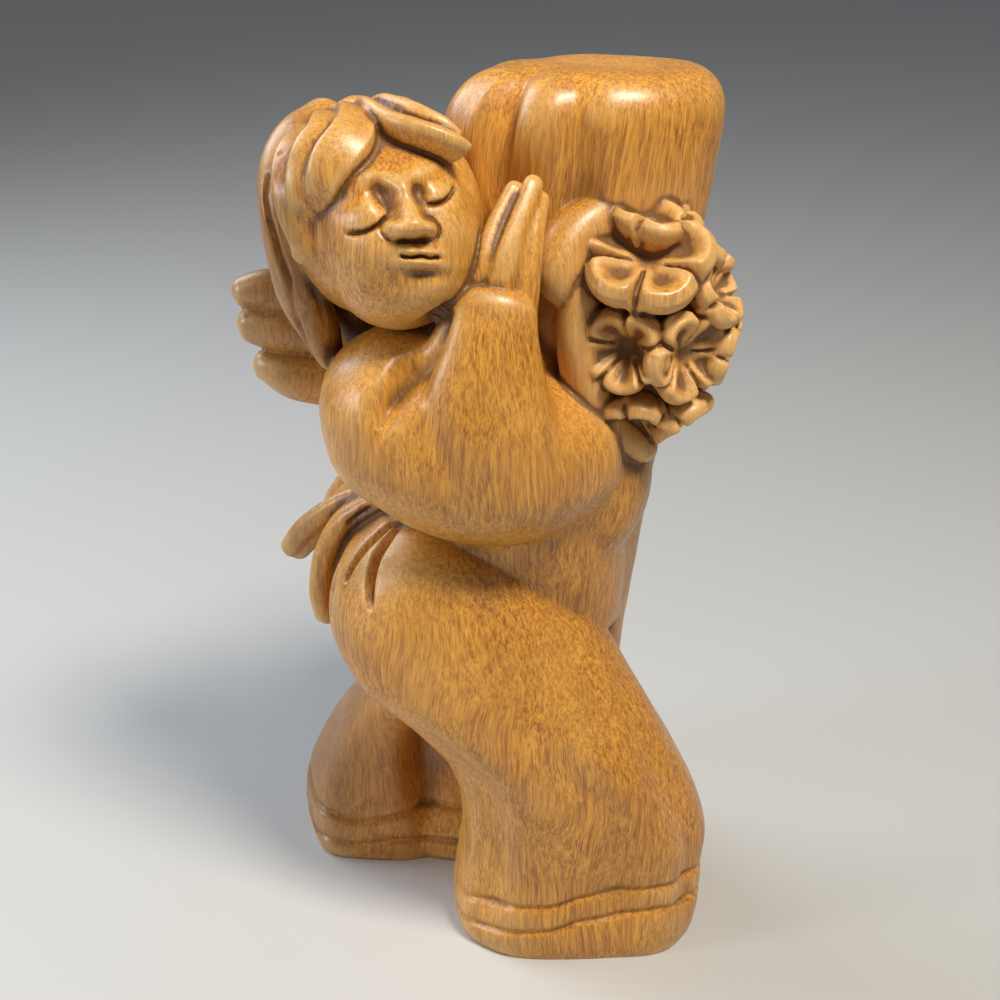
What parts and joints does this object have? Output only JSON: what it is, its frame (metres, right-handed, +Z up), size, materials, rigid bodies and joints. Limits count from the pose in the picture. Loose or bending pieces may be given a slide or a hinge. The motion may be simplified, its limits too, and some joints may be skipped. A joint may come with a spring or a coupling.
{
  "type": "carved wooden cherub figurine",
  "caption": "Carved wooden cherub in a long gown, hugging a lobed column with a bouquet at its side; wings on its back and a flat underside to stand on.",
  "frame": {"origin": "on the table, at the middle of the figurine's box", "axes": "+Z up along the column; +X the way the gown's near side swings, from the wings towards the bouquet; -Y towards whoever faces the figurine"},
  "size_m": [0.1608, 0.1314, 0.3],
  "materials": {
    "carved_wood": "oiled and hand-rubbed to a satin gloss"
  },
  "bodies": {
    "root": {"cherub": "carved_wood"}
  },
  "joints": []
}
